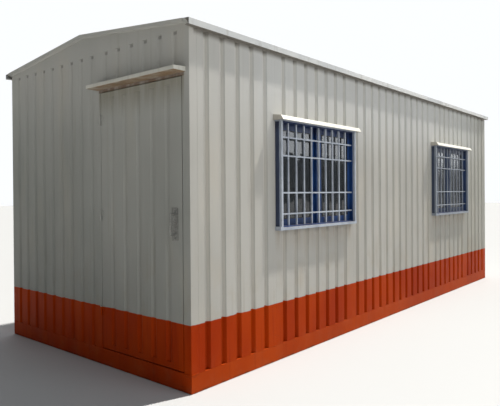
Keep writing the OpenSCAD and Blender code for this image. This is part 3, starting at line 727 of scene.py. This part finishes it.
def add_glazing_rubber():
    bm = bmesh.new()
    low = SILL_Z + TRACK_INSET + SASH_RAIL
    high = SILL_Z + TRACK_INSET + SASH_H - SASH_RAIL
    for left, right, face in sash_lights():
        glass_out = face + (SASH_T - GLASS_T) / 2
        rubber_frame(bm, left, right, low, high, glass_out, -RUBBER_T)
        rubber_frame(bm, left, right, low, high, glass_out + GLASS_T, RUBBER_T)
    fit("glazing_rubber", bm, "cabin", RUBBER)


def add_sash_fittings():
    """A pull outside on each right hand sash, and a catch inside on each left hand one."""
    bm = bmesh.new()
    mid_z = SILL_Z + WINDOW_H / 2
    from_middle = SASH_W + TRACK_INSET - WINDOW_W / 2 - MEETING_STILE / 2
    for middle in WINDOW_MIDDLES:
        stile = middle - from_middle
        block(bm, (stile - 0.009, OUTER_SASH_FACE - 0.003, mid_z - 0.06),
              (stile + 0.009, OUTER_SASH_FACE, mid_z + 0.06), 0.001)
        block(bm, (stile - 0.004, OUTER_SASH_FACE - 0.008, mid_z - 0.045),
              (stile + 0.004, OUTER_SASH_FACE - 0.003, mid_z + 0.045), 0.0015)
        stile = middle + from_middle
        back = INNER_SASH_FACE + SASH_T
        block(bm, (stile - 0.011, back, mid_z - 0.035),
              (stile + 0.011, back + 0.005, mid_z + 0.035), 0.0015)
        turned(bm, (stile, back + 0.005, mid_z), (0, 1, 0), CATCH_RINGS, 16)
        block(bm, (stile - 0.005, back + 0.007, mid_z),
              (stile + 0.005, back + 0.013, mid_z + 0.05), 0.002)
    fit_painted("sash_pulls_and_catches", bm, "cabin", "bare_steel")


def add_door_lock():
    """Screws in the corners of the handle plate, and a lock barrel below the grip."""
    bm = bmesh.new()
    face = -HALF_L - 0.004
    for dy in (-0.022, 0.022):
        for dz in (-0.1, 0.1):
            seat = (face, HANDLE_Y + dy, HANDLE_Z + dz)
            turned(bm, seat, (-1, 0, 0), PLATE_SCREW_RINGS, 14)
    turned(bm, (face, HANDLE_Y, HANDLE_Z - 0.096), (-1, 0, 0), LOCK_RINGS, 24)
    fit_painted("door_lock_and_screws", bm, "door", "bare_steel")
    bm = bmesh.new()
    low = (face - 0.0096, HANDLE_Y - 0.001, HANDLE_Z - 0.1005)
    block(bm, low, (face - 0.0088, HANDLE_Y + 0.001, HANDLE_Z - 0.0915), 0.0003)
    fit("lock_key_slot", bm, "door", RUBBER)


def add_hinge_welds():
    """Weld runs along the tabs of the hinges: below on the post, above on the leaf."""
    post_edge, leaf_edge = PIN_Y + TAB_W, PIN_Y - TAB_W
    on_post, on_leaf = bmesh.new(), bmesh.new()
    for z in HINGE_HEIGHTS:
        bead(on_post, (-HALF_L, post_edge, z - BARREL_L), (-HALF_L, post_edge, z), 0.0028)
        bead(on_leaf, (-HALF_L, leaf_edge, z + 0.001), (-HALF_L, leaf_edge, z + BARREL_L), 0.0028)
    fit_painted("hinge_welds_on_post", on_post, "cabin", "wall_paint", smooth=True)
    fit_painted("hinge_welds_on_leaf", on_leaf, "door", "wall_paint", smooth=True)


def add_lining_strips():
    """Cover strips over the joints of the inside boards."""
    bm = bmesh.new()
    inner_y, inner_x = HALF_W - WALL_T, HALF_L - WALL_T
    half, top = STRIP_HALF_W, CEILING - 0.001
    for x in LINING_JOINTS:
        for side in (-1, 1):
            y = side * inner_y
            low, high = sorted((y, y - side * STRIP_T))
            block(bm, (x - half, low, FLOOR_TOP), (x + half, high, top), 0.001)
        block(bm, (x - half, -inner_y, CEILING - STRIP_T), (x + half, inner_y, CEILING), 0.001)
    block(bm, (inner_x - STRIP_T, -half, FLOOR_TOP), (inner_x, half, top), 0.001)
    left, right = DOOR_END_JOINT - half, DOOR_END_JOINT + half
    block(bm, (-inner_x, left, FLOOR_TOP), (-inner_x + STRIP_T, right, top), 0.001)
    fit_painted("lining_cover_strips", bm, "cabin", "lining_board")


def add_skirting():
    bm = bmesh.new()
    inner_y, inner_x, top = HALF_W - WALL_T, HALF_L - WALL_T, FLOOR_TOP + SKIRTING_H
    for side in (-1, 1):
        low, high = sorted((side * inner_y, side * (inner_y - SKIRTING_T)))
        block(bm, (-inner_x, low, FLOOR_TOP), (inner_x, high, top), 0.002)
    end_y = inner_y - SKIRTING_T
    block(bm, (inner_x - SKIRTING_T, -end_y, FLOOR_TOP), (inner_x, end_y, top), 0.002)
    block(bm, (-inner_x, DOORWAY[1] + 0.01, FLOOR_TOP), (-inner_x + SKIRTING_T, end_y, top), 0.002)
    fit_painted("skirting", bm, "cabin", "lining_board")


add_roof_screws()
add_trim_rivets()
add_post_welds()
add_grille_welds()
add_glazing_rubber()
add_sash_fittings()
add_door_lock()
add_hinge_welds()
add_lining_strips()
add_skirting()


def pale_floor_paint():
    made = bpy.data.materials.new("pale_floor_paint")
    made.use_nodes = True
    shader = made.node_tree.nodes["Principled BSDF"]
    shader.inputs["Base Color"].default_value = FLOOR_SHADE
    shader.inputs["Roughness"].default_value = 0.9
    return made


def add_stage():
    bm = bmesh.new()
    bmesh.ops.create_grid(bm, x_segments=1, y_segments=1, size=60.0)
    bmesh.ops.translate(bm, vec=(0, 0, FLOOR_Z), verts=bm.verts[:])
    mesh = bpy.data.meshes.new("pale_floor")
    bm.to_mesh(mesh)
    bm.free()
    mesh.materials.append(pale_floor_paint())
    floor = bpy.data.objects.new("pale_floor", mesh)
    bpy.context.scene.collection.objects.link(floor)


def add_soft_box(name, place, target, size, power):
    light = bpy.data.lights.new(name, "AREA")
    light.shape = "RECTANGLE"
    light.size, light.size_y = size
    light.energy = power
    light.color = SOFT_BOX_COLOUR
    box = bpy.data.objects.new(name, light)
    box.location = place
    box.rotation_euler = (Vector(target) - box.location).to_track_quat("-Z", "Y").to_euler()
    bpy.context.scene.collection.objects.link(box)
    return box


def add_light():
    """A high key along the window side, and pale surroundings, brightest behind the cabin."""
    world = bpy.data.worlds.new("soft_surroundings")
    world.use_nodes = True
    tree = world.node_tree
    glow = tree.nodes["Background"]
    glow.inputs["Color"].default_value = SURROUND_COLOUR
    place = tree.nodes.new("ShaderNodeTexCoord")
    behind = tree.nodes.new("ShaderNodeVectorMath")
    behind.operation = "DOT_PRODUCT"
    behind.inputs[1].default_value = BRIGHT_SIDE
    fade = tree.nodes.new("ShaderNodeMapRange")
    fade.interpolation_type = "SMOOTHSTEP"
    for socket, number in zip(fade.inputs[1:5], (0.35, 0.80, SURROUND_DIM, SURROUND_BRIGHT)):
        socket.default_value = number
    tree.links.new(place.outputs["Generated"], behind.inputs[0])
    tree.links.new(behind.outputs["Value"], fade.inputs[0])
    tree.links.new(fade.outputs[0], glow.inputs["Strength"])
    bpy.context.scene.world = world
    sun = bpy.data.lights.new("high_key", "SUN")
    sun.energy = KEY_STRENGTH
    sun.angle = math.radians(2.0)
    sun.color = SUN_COLOUR
    lamp = bpy.data.objects.new("high_key", sun)
    lamp.rotation_euler = Vector(TOWARDS_SUN).to_track_quat("Z", "Y").to_euler()
    bpy.context.scene.collection.objects.link(lamp)
    add_soft_box("side_fill", (-2.5, -8.0, 4.5), (-0.8, -1.2, 1.4), (8.0, 4.0), FILL_POWER)
    sheen = add_soft_box(
        "window_sheen", (20.0, -12.0, 5.9), (20.0, 0.0, 5.9), (26.0, 6.0), SHEEN_POWER
    )
    sheen.visible_diffuse = False
    bpy.context.scene.view_settings.view_transform = "Standard"


def add_camera():
    flat = math.cos(CAMERA_PITCH)
    ahead = Vector((
        math.cos(CAMERA_YAW) * flat, math.sin(CAMERA_YAW) * flat, math.sin(CAMERA_PITCH)
    ))
    right = ahead.cross(Vector((0, 0, 1))).normalized()
    down = ahead.cross(right)
    level, tilt = math.cos(CAMERA_ROLL), math.sin(CAMERA_ROLL)
    right, down = level * right + tilt * down, level * down - tilt * right
    data = bpy.data.cameras.new("photo_camera")
    data.sensor_fit = "HORIZONTAL"
    data.sensor_width = 36.0
    data.lens = CAMERA_LENS
    data.shift_x, data.shift_y = CAMERA_SHIFT
    camera = bpy.data.objects.new("photo_camera", data)
    turn = Matrix((right, -down, -ahead)).transposed().to_4x4()
    camera.matrix_world = Matrix.Translation(CAMERA_PLACE) @ turn
    bpy.context.scene.collection.objects.link(camera)
    bpy.context.scene.camera = camera


add_stage()
add_light()
add_camera()
